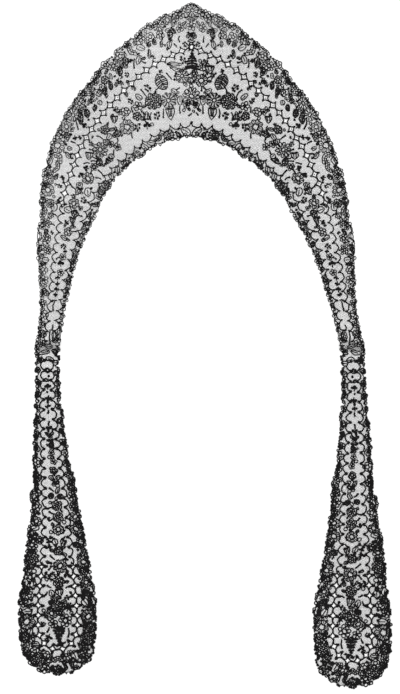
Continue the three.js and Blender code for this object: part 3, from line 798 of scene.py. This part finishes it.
def loop(radius):
    """A small open ring."""
    return [line(ring(radius - 0.5, 7), 1.4, closed=True)]


def knot(radius):
    """A round knot of wound thread."""
    return [stamp(KNOT, 0, 0, (radius, radius, 1.0))]


def cluster(radius):
    """Close work pierced with small round openings, in slightly curling rows."""
    parts = []
    apart, opening, curl = 3.5, 1.7, 5.0
    steps = int(radius / apart) + 1
    for row in range(-steps, steps + 1):
        for column in range(-steps, steps + 1):
            x, y = apart * (column + (row % 2) / 2), apart * 0.87 * row
            away = math.hypot(x, y)
            if away <= radius - 1.3:
                x, y = turned(np.array([[x, y]]), curl * away)[0]
                parts.append(line(ring(opening, 6, x, y), 1.45, closed=True))
    return parts


def trefoil(radius):
    """Three knots on a short stem."""
    parts = [line([[-0.9 * radius, 0], [0.3 * radius, 0]], 1.5)]
    for angle in (-75, 0, 75):
        x, y = turned(np.array([[0.6 * radius, 0.0]]), angle)[0]
        parts.append(stamp(KNOT, x, y, (0.5 * radius, 0.5 * radius, 0.9)))
    return parts


def sprig(long):
    """A stem with knots at its end and beside it."""
    parts = [line([[-0.5 * long, 0], [0, 0.05 * long], [0.4 * long, 0]], 1.4)]
    for x, y in ((0.46, 0), (0.22, 0.27), (0.12, -0.27), (-0.2, 0.24), (-0.28, -0.2)):
        parts.append(stamp(KNOT, x * long, y * long, (0.19 * long, 0.17 * long, 0.9)))
    return parts


def stem(long):
    """A short thick stem with a round end."""
    widths = np.array([1.7, 2.1, 2.3])
    return [line([[-0.5 * long, 0], [0, 0.06 * long], [0.45 * long, 0]], widths),
            stamp(KNOT, 0.45 * long, 0, (1.5, 1.5, 0.9))]


MOTIFS = {motif.__name__: motif for motif in (
    rose, dense, rings, daisy, blossom, leaf, hatch, shield, fir, shell, bud, loop, knot, cluster,
    trefoil, sprig, stem)}
# The width of a long motif beside its length, where it is sized by a radius
LONG_MOTIFS = {"leaf": 0.6, "hatch": 0.6, "bud": 0.6}


def read_row(kind, x, y, size, turn=0):
    """A row of a table of flowers, with its size or sizes as a tuple."""
    return kind, x, y, size if isinstance(size, tuple) else (size,), turn


def planted(rows, flip=1):
    """The motifs of a table, in their places; flip is -1 where y runs downwards."""
    parts = []
    for row in rows:
        kind, x, y, sizes, turn = read_row(*row)
        parts += moved(MOTIFS[kind](*sizes), x, y, flip * turn)
    return parts


def spots_of(rows):
    """The places that the motifs of a table take up, as (x, y, radius)."""
    spots = []
    for row in rows:
        _, x, y, sizes, _ = read_row(*row)
        spots.append((x, y, sizes[0] if len(sizes) == 1 else sum(sizes) / 4))
    return spots


def taken_up(spots, x, y, radius, packing):
    """Whether a new motif would come too near to one of those already there."""
    spots = np.array(spots)
    return (np.hypot(spots[:, 0] - x, spots[:, 1] - y) < packing * (radius + spots[:, 2])).any()


def uneven_hand(points):
    """The small wanderings of threads that are laid by hand."""
    x, y = points[:, 0], points[:, 1]
    aside = 0.42 * np.sin(y / 1.9 + 1.3 * np.sin(x / 5.1)) + 0.3 * np.sin((x + y) / 1.15 + 2.0)
    along = 0.42 * np.sin(x / 1.8 + 1.3 * np.sin(y / 4.7) + 1.0) + 0.3 * np.sin((x - y) / 1.25)
    return points + np.column_stack([aside, along])


def work(lace, parts, place, weight):
    """Works the parts of a pattern into a piece of lace; weight gives the thread's heaviness."""
    for part in parts:
        where = uneven_hand(place(part["points"]))
        heavy = weight(*where.mean(0))
        if "unit" not in part:
            width = np.asarray(part["width"]) * heavy
            lace.thread(where, width, part["rise"], part["closed"], part["material"])
            continue
        ahead = uneven_hand(place(part["points"] + turned(np.array([[1.0, 0.0]]), part["turn"])))
        angle = math.degrees(math.atan2(*(ahead - where)[0, ::-1]))
        lace.stamp(part["unit"], *where[0], np.array(part["size"]) * [1, heavy, 1], angle)


# ---------------------------------------------------------------------------- lines, stars and edges

def thorn(centre, direction, long, half_width):
    """A thorn from its root at centre."""
    angle = math.degrees(math.atan2(direction[1], direction[0]))
    return stamp(THORN, *centre, (long, half_width, 1.0), angle)


def scallop_line(path, count, cusp, skip=lambda share: False, barb=BARB):
    """Round scallops whose cusps, each with a thorn, stand to one side of the path: to its left where
    cusp is positive. skip tells which shares of the path have none."""
    parts = []
    way = math.copysign(1, cusp)
    for k in range(count):
        if skip((k + 0.5) / count):
            continue
        share = (k + np.array([0, 0.06, 0.17, 0.33, 0.5, 0.67, 0.83, 0.94, 1])) / count
        off = cusp * np.array([0.6, 0.28, -0.16, -0.5, -0.62, -0.5, -0.16, 0.28, 0.6])
        parts.append(line(path.beside(share, off), 0.85 * CORD, CORD_RISE))
    for k in range(count + 1):
        share = min(k / count, 1)
        if not skip(share):
            normal = path.normal(share)[0] * way
            parts.append(thorn(path.beside(share, 0.25 * cusp)[0], normal, 0.85 * abs(cusp), barb))
    return parts


def star_outline(along, across):
    """A four-pointed cell with hollow sides."""
    c, s = ring(1, 16).T
    return np.column_stack([along * np.sign(c) * np.abs(c) ** STAR_HOLLOW,
                            across * np.sign(s) * np.abs(s) ** STAR_HOLLOW])


def star_place(path, share):
    """A star's centre, which way is across the chain there, and its turn."""
    centre, normal = path.at(share)[0], path.normal(share)[0]
    return centre, normal, math.degrees(math.atan2(-normal[0], normal[1]))


def star_chain(path, count, first, last, dotted, barb=BARB):
    """Star cells joined by short bars, with thorns on their points across the chain. In a dotted
    chain three stars out of four have a knot at their centre."""
    cell = [line(star_outline(STAR_ALONG, STAR_ACROSS), 0.85 * CORD, CORD_RISE, closed=True)]
    parts = []
    for k in range(first, last + 1):
        centre, normal, angle = star_place(path, min(k / count, 1))
        parts += moved(cell, *centre, angle)
        for way in (-1, 1):
            root = centre + way * normal * 0.6 * STAR_ACROSS
            parts.append(thorn(root, way * normal, 2 * barb, barb))
        if dotted and k % 4:
            parts += moved(knot(0.8), *centre)
    for k in range(first, last):
        reach = 0.78 * STAR_ALONG / path.length
        share = np.linspace(k / count + reach, (k + 1) / count - reach, 4)
        parts.append(line(path.at(share), 1.05 * CORD, CORD_RISE))
    return parts


def star_hole(path, share, place):
    """The opening that a star cell leaves in the net."""
    centre, _, angle = star_place(path, share)
    return place(turned(star_outline(STAR_OPEN * STAR_ALONG, STAR_OPEN * STAR_ACROSS), angle) + centre)


def edge_work(path, outwards, largest, width, inset):
    """An edge of uneven scallops: a cord, and a row of small loops and knots that stand out from it,
    with a gap here and there. Returns its parts and its outline."""
    ends = [0.0]
    while ends[-1] < path.length:
        ends.append(ends[-1] + rng.uniform(SCALLOP_SHORTEST * largest, largest))
    ends = np.array(ends) * path.length / ends[-1]
    edge = []
    for start, end in zip(ends[:-1], ends[1:]):
        share = (start + (end - start) * np.array(SCALLOP_ALONG)) / path.length
        rise = (end - start) * rng.uniform(*SCALLOP_RISE)
        off = rise * np.array(SCALLOP_OUT if start else FIRST_SCALLOP_OUT) - inset
        edge.append(path.beside(share, outwards * off))
    edge = np.vstack(edge + [path.beside(1.0, -outwards * inset)])
    rim = Line(edge)
    cord = rim.beside(np.linspace(0, 1, len(edge)), -1.0 * outwards)
    parts = [line(cord, 0.65 * width, CORD_RISE)]
    along = 1.5
    while along < rim.length - 1:
        radius, kind = rng.uniform(*PICOT_RADIUS), rng.uniform()
        back = rng.uniform(0.3, 0.9) * (radius - 0.8)
        centre = rim.beside(along / rim.length, outwards * (0.4 - back))[0]
        if kind < PICOT_LOOPS:
            parts.append(line(ring(radius, 7, *centre), width, FINE_RISE, closed=True))
        elif kind < PICOT_WORKED:
            parts += moved(knot(0.7 * radius), *centre)
        along += 1.6 * radius
    return parts, edge


def fill(locate, start, end, depth_at, taken, seed, packing):
    """Packs small motifs into a border round those already there. locate takes distances along and
    in from the edge, depth_at gives the border's depth, and taken lists (x, y, radius)."""
    draw = np.random.default_rng(seed)
    taken = list(taken)
    parts = []
    for kinds, small, large, tries in FILLING:
        for _ in range(int(tries * (end - start) / 1000)):
            along, radius = draw.uniform(start, end), draw.uniform(small, large)
            kind = kinds[draw.integers(len(kinds))]
            turn, slide = draw.uniform(0, 360), draw.uniform(0, 1)
            nearest, furthest = 0.7 * radius + 0.6 * EDGE_INSET, depth_at(along) - 0.85 * radius
            if furthest < nearest:
                continue
            x, y = locate(along, nearest + (furthest - nearest) * slide)
            if taken_up(taken, x, y, radius, packing):
                continue
            taken.append((x, y, radius))
            sizes = (2 * radius, 2 * radius * LONG_MOTIFS[kind]) if kind in LONG_MOTIFS else (radius,)
            parts += moved(MOTIFS[kind](*sizes), x, y, turn)
    return parts


def grow(rows, field, tries, seed):
    """Small leaves, loops and knots that grow from the flowers of a garland, within its field."""
    draw = np.random.default_rng(seed)
    spots = spots_of(rows)
    kinds = list(GROWN)
    parts = []
    for _ in range(tries):
        x, y, reach = spots[draw.integers(len(rows))]
        kind = kinds[draw.integers(len(kinds))]
        radius, angle = draw.uniform(*GROWN_RADIUS), draw.uniform(0, 360)
        u, v = turned(np.array([[reach + 0.8 * radius, 0.0]]), angle)[0] + [x, y]
        if taken_up(spots, u, v, radius, GROWN_PACKING):
            continue
        on_right = np.array([abs(u), v])
        from_rim = np.hypot(*(field - on_right).T).min()
        if from_rim < radius + GROWN_CLEAR or not inside(on_right[None], field)[0]:
            continue
        spots.append((u, v, radius))
        parts += moved(MOTIFS[kind](*(share * radius for share in GROWN[kind])), u, v, angle)
    return parts


# ----------------------------------------------------------------------------------------- the collar

def worn(x, y):
    """How much is left of the threads: they are worn thin on the left of the back and at its point,
    and a little less on the left arm."""
    for left_of, above, share_left in WORN:
        if x < left_of and y > above:
            return share_left
    return 1.0


def garland_weight(x, y):
    return GARLAND_WEIGHT * worn(x, y)


def neck_weight(x, y):
    return worn(x, y) * np.interp(y, NECK_HEIGHTS, NECK_WEIGHTS)


def border_weight(x, y):
    return worn(x, y) * np.interp(y, BORDER_HEIGHTS, BORDER_WEIGHTS)


def fill_collar_border(edge, line_column, from_outside, depth_more, taken, **filling):
    """Fills one of the borders of a half, from its edge to the line that parts it from the field."""
    share_along = np.linspace(0, 1, len(edge.reach))

    def width_at(share):
        return np.linalg.norm(on_half(share, 1.0) - on_half(share, 0.0))

    def locate(along, inward):
        share = np.interp(along, edge.reach, share_along)
        across = inward / width_at(share)
        return on_half(share, 1 - across if from_outside else across)[0]

    def depth_at(along):
        share = np.interp(along, edge.reach, share_along)
        across = collar_column(line_column, share)[0]
        return (1 - across if from_outside else across) * width_at(share) + depth_more

    return fill(locate, 0, edge.length - JOIN_CLEAR, depth_at, taken, **filling)


def collar_pattern():
    """The work of one half of the collar: its garland, lines and sprays, the work of its two borders,
    the field of its garland, the outlines of its two edges, and its chain of stars."""
    chain = collar_line("chain", 0, CHAIN_END)
    lower = collar_line("chain", CHAIN_END, FIELD_END)
    lower = Line(lower.beside(np.linspace(0, 1, 200), np.linspace(0, LOWER_SPREAD, 200)))
    neck_line = collar_line("neck_line", 0, FIELD_END)
    outer, neck = collar_line(1.0, 0, 1), collar_line(0.0, 0, 1)
    stars = round(chain.length / CUSP_PITCH)
    field = star_chain(chain, stars, 0, stars, True)
    field += scallop_line(lower, round(lower.length / CUSP_PITCH), -CUSP)
    field += scallop_line(neck_line, round(neck_line.length / CUSP_PITCH), CUSP)
    border_line = collar_line("border", 0, FIELD_END)
    lines = np.vstack([chain.points, lower.points])
    garden = np.vstack([lines, neck_line.points[::-1]])
    hanging = np.vstack([border_line.points, lines[::-1]])
    field += planted(SIDE_GARLAND) + grow(SIDE_GARLAND, garden, tries=200, seed=5)
    field += planted(SPRAYS) + grow(SPRAYS, hanging, tries=150, seed=8)
    outer_edge, outer_outline = edge_work(outer, *OUTER_EDGE)
    neck_edge, neck_outline = edge_work(neck, *NECK_EDGE)
    taken = spots_of(SIDE_BORDER + CENTRE_BORDER)
    outer_filling = fill_collar_border(outer, "border", True, 1, taken, seed=11, packing=OUTER_PACKING)
    neck_filling = fill_collar_border(neck, "neck_line", False, -1, taken, seed=12, packing=NECK_PACKING)
    border = outer_edge + planted(SIDE_BORDER) + outer_filling
    return field, border, neck_edge + neck_filling, garden, outer_outline, neck_outline, chain, stars


def make_collar(materials):
    """The collar's lace in two halves, so that each stays a light mesh; the net runs across both."""
    field, border, neck_border, garden, outer, neck, chain, stars = collar_pattern()
    right, left = collar_side(1), collar_side(-1)
    outline = np.vstack([right(outer), right(neck)[::-1], left(neck), left(outer)[::-1]])
    holes = [star_hole(chain, k / stars, place) for k in range(stars + 1) for place in (left, right)]
    points, stretches, crossings = net(outline, holes, NET_PITCH, NET_THREAD)
    pieces = []
    for name, side, place in (("left", -1, left), ("right", 1, right)):
        lace = Lace()
        add_net(lace, points, (stretches, crossings),
                lambda middle: (middle[:, 0] > CENTRE_BACK_X) == (side > 0))
        work(lace, field, place, garland_weight)
        work(lace, border, place, border_weight)
        work(lace, neck_border, place, neck_weight)
        if side > 0:
            centre = planted(CENTRE_GARLAND) + grow(CENTRE_GARLAND, garden, tries=60, seed=6)
            work(lace, centre, place, garland_weight)
            work(lace, planted(CENTRE_BORDER), place, border_weight)
        pieces.append(lace.mesh("collar_lace_" + name, True, materials))
    return pieces


# ---------------------------------------------------------------------------------------- the lappets

def lappet_pattern():
    """All the flower work of a lappet, in its own measures across and down, its outline, and its inner
    line with the numbers of the cusps that are stars and of all its cusps."""
    edge = lappet_line("half", 0, TIP_LENGTH, TIP_ROUNDNESS)
    chain = lappet_line("line", LINES_START, CHAIN_TIP_LENGTH, CHAIN_ROUNDNESS)
    count = round(chain.length / CUSP_PITCH)
    down = chain.at(np.arange(count + 1) / count)[:, 1]
    starred = np.flatnonzero(down > STARS_START)
    first, last = starred[0], starred[-1]
    edge_parts, outline = edge_work(edge, *LAPPET_EDGE)

    def in_stars(share):
        return first / count <= share <= last / count

    def locate(along, inward):
        share = along / edge.length
        return (edge.at(share) + edge.normal(share) * inward)[0]

    def depth_at(along):
        x, y = edge.at(along / edge.length)[0]
        return np.hypot(chain.points[:, 0] - x, chain.points[:, 1] - y).min() - LINE_CLEAR

    parts = star_chain(chain, count, first, last, False, LAPPET_BARB)
    parts += scallop_line(chain, count, CUSP, in_stars, LAPPET_BARB) + edge_parts
    parts += planted(LAPPET_GARLAND, flip=-1) + planted(LAPPET_BORDER, flip=-1)
    parts += grow(LAPPET_GARLAND, chain.points, tries=320, seed=7)
    parts += fill(locate, JOIN_CLEAR, edge.length - JOIN_CLEAR, depth_at, spots_of(LAPPET_BORDER),
                  seed=21, packing=LAPPET_PACKING)
    return parts, outline, chain, range(first, last + 1), count


def make_lappet(name, materials, parts, outline, chain, starred, count):
    """One lappet's lace, from the pattern that both share."""
    place = lappet_side(name)
    holes = [star_hole(chain, k / count, place) for k in starred]
    points, stretches, crossings = net(place(outline), holes, NET_PITCH, NET_THREAD)
    lace = Lace()
    add_net(lace, points, (stretches, crossings), lambda middle: np.ones(len(middle), bool))
    work(lace, parts, place, lambda x, y: LAPPET_WEIGHT[name])
    return lace.mesh("lappet_lace_" + name, False, materials)


def sew_join(name, materials):
    """Oversewing stitches along the collar's end, where it laps over the lappet."""
    place = collar_side(1 if name == "right" else -1)
    end = place(on_half(np.full(STITCHES, 1.0), np.linspace(0.06, 0.94, STITCHES)))
    stitches = Lace()
    for x, y in end:
        stitches.stamp(STITCH, x, y + 0.6, (1, 1, 1), rng.uniform(-14, 14))
    return stitches.mesh("join_stitches_" + name, True, materials)


# ------------------------------------------------------------------------------------------ materials

def colour(hex_code):
    """sRGB hex to the linear values that Blender's sockets take."""
    def linear(channel):
        value = int(channel, 16) / 255
        return value / 12.92 if value <= 0.04045 else ((value + 0.055) / 1.055) ** 2.4
    return (*(linear(hex_code[k:k + 2]) for k in (1, 3, 5)), 1.0)


def node(tree, kind, settings=None, inputs=None, links=None):
    """Adds a node, sets its properties and inputs, and links sockets into it."""
    new = tree.nodes.new(kind)
    for key, value in (settings or {}).items():
        setattr(new, key, value)
    for key, value in (inputs or {}).items():
        new.inputs[key].default_value = value
    for key, socket in (links or {}).items():
        tree.links.new(socket, new.inputs[key])
    return new


def silk(name, dark, light, roughness, sheen, twist_mm):
    """Black silk thread, spun from reeled filaments and dyed: nearly matt at this distance, with a
    slanting twist, and a dye that has faded unevenly in patches some centimetres wide."""
    patch = 35 * MM
    material = bpy.data.materials.new(name)
    material.use_nodes = True
    tree = material.node_tree
    surface = tree.nodes["Principled BSDF"]
    place = node(tree, "ShaderNodeTexCoord")
    fade = node(tree, "ShaderNodeTexNoise", inputs={"Scale": 1 / patch, "Detail": 3.0},
                links={"Vector": place.outputs["Object"]})
    tone = node(tree, "ShaderNodeValToRGB", links={"Fac": fade.outputs["Fac"]})
    for stop, position, shade in zip(tone.color_ramp.elements, (0.35, 0.7), (dark, light)):
        stop.position, stop.color = position, colour(shade)
    twist = node(tree, "ShaderNodeTexWave", {"bands_direction": "DIAGONAL"},
                 {"Scale": 1 / (twist_mm * MM * 2 * math.pi), "Distortion": 2.0},
                 {"Vector": place.outputs["Object"]})
    bump = node(tree, "ShaderNodeBump", inputs={"Strength": 0.5, "Distance": 0.1 * MM},
                links={"Height": twist.outputs["Fac"]})
    surface.inputs["Roughness"].default_value = roughness
    surface.inputs["Specular IOR Level"].default_value = 0.12
    surface.inputs["Sheen Weight"].default_value = sheen
    tree.links.new(tone.outputs["Color"], surface.inputs["Base Color"])
    tree.links.new(bump.outputs["Normal"], surface.inputs["Normal"])
    return material


# ------------------------------------------------------------------------------------ make and attach

# Two-ply net thread looks greyest, because light comes through its fine twist; the floss of the close
# work is softer and duller; the thick outline thread is the blackest and has the coarsest twist
materials = [
    silk("fine silk net thread", "#121113", "#1e1c1e", roughness=0.6, sheen=0.02, twist_mm=0.35),
    silk("soft silk close work", "#0a090a", "#151415", roughness=0.65, sheen=0.02, twist_mm=0.5),
    silk("silk outline thread", "#040304", "#0b0a0b", roughness=0.55, sheen=0.0, twist_mm=0.7),
]

collar_pieces = make_collar(materials)
lappet_plan = lappet_pattern()
lappet_pieces = [make_lappet(name, materials, *lappet_plan) for name in ("left", "right")]
join_pieces = [sew_join(name, materials) for name in ("left", "right")]

for piece in collar_pieces:
    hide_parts("collar")
for piece, node_name in zip(lappet_pieces, ("lappet_left", "lappet_right")):
    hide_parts(node_name)
for piece in collar_pieces + lappet_pieces + join_pieces:
    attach(piece, "root")

# ------------------------------------------------------------------------------- table, light, camera

# In metres, watts and degrees
TABLE_SIZE = 30
SKY_STRENGTH = 0.9
LAMP_SIZE, LAMP_WATTS, LAMP_PLACE, LAMP_TILT = 3.0, 34, (-0.6, 0.8, 3.0), (-15, -11, 0)

bpy.ops.object.select_all(action="DESELECT")
bpy.ops.mesh.primitive_plane_add(size=TABLE_SIZE, location=(0, 0, 0))
table = bpy.context.object
table.name = "table"
# uncoated card is even and bright, and shows soft shadows with no shine
card = bpy.data.materials.new("matt white card")
card.use_nodes = True
card_surface = card.node_tree.nodes["Principled BSDF"]
card_surface.inputs["Base Color"].default_value = colour("#fcfcfc")
card_surface.inputs["Roughness"].default_value = 0.9
table.data.materials.append(card)

world = bpy.data.worlds.new("studio")
world.use_nodes = True
sky = world.node_tree.nodes["Background"]
sky.inputs["Color"].default_value = (1, 1, 1, 1)
sky.inputs["Strength"].default_value = SKY_STRENGTH
bpy.context.scene.world = world

lamp_data = bpy.data.lights.new("softbox", "AREA")
lamp_data.shape = "RECTANGLE"
lamp_data.size = lamp_data.size_y = LAMP_SIZE
lamp_data.energy = LAMP_WATTS
lamp = bpy.data.objects.new("softbox", lamp_data)
lamp.location = LAMP_PLACE
lamp.rotation_euler = [math.radians(degrees) for degrees in LAMP_TILT]
bpy.context.scene.collection.objects.link(lamp)

# The camera looks straight down, from so high that the picture is VIEW_HEIGHT high on the table
VIEW_HEIGHT, VIEW_X, VIEW_Y = 971.6 * MM, -6.3 * MM, -2.1 * MM
LENS, SENSOR = 100.0, 36.0
camera_data = bpy.data.cameras.new("camera")
camera_data.sensor_fit = "VERTICAL"
camera_data.sensor_height, camera_data.lens = SENSOR, LENS
camera = bpy.data.objects.new("camera", camera_data)
camera.location = (VIEW_X, VIEW_Y, VIEW_HEIGHT * LENS / SENSOR)
bpy.context.scene.collection.objects.link(camera)
bpy.context.scene.camera = camera
bpy.context.scene.view_settings.view_transform = "Standard"
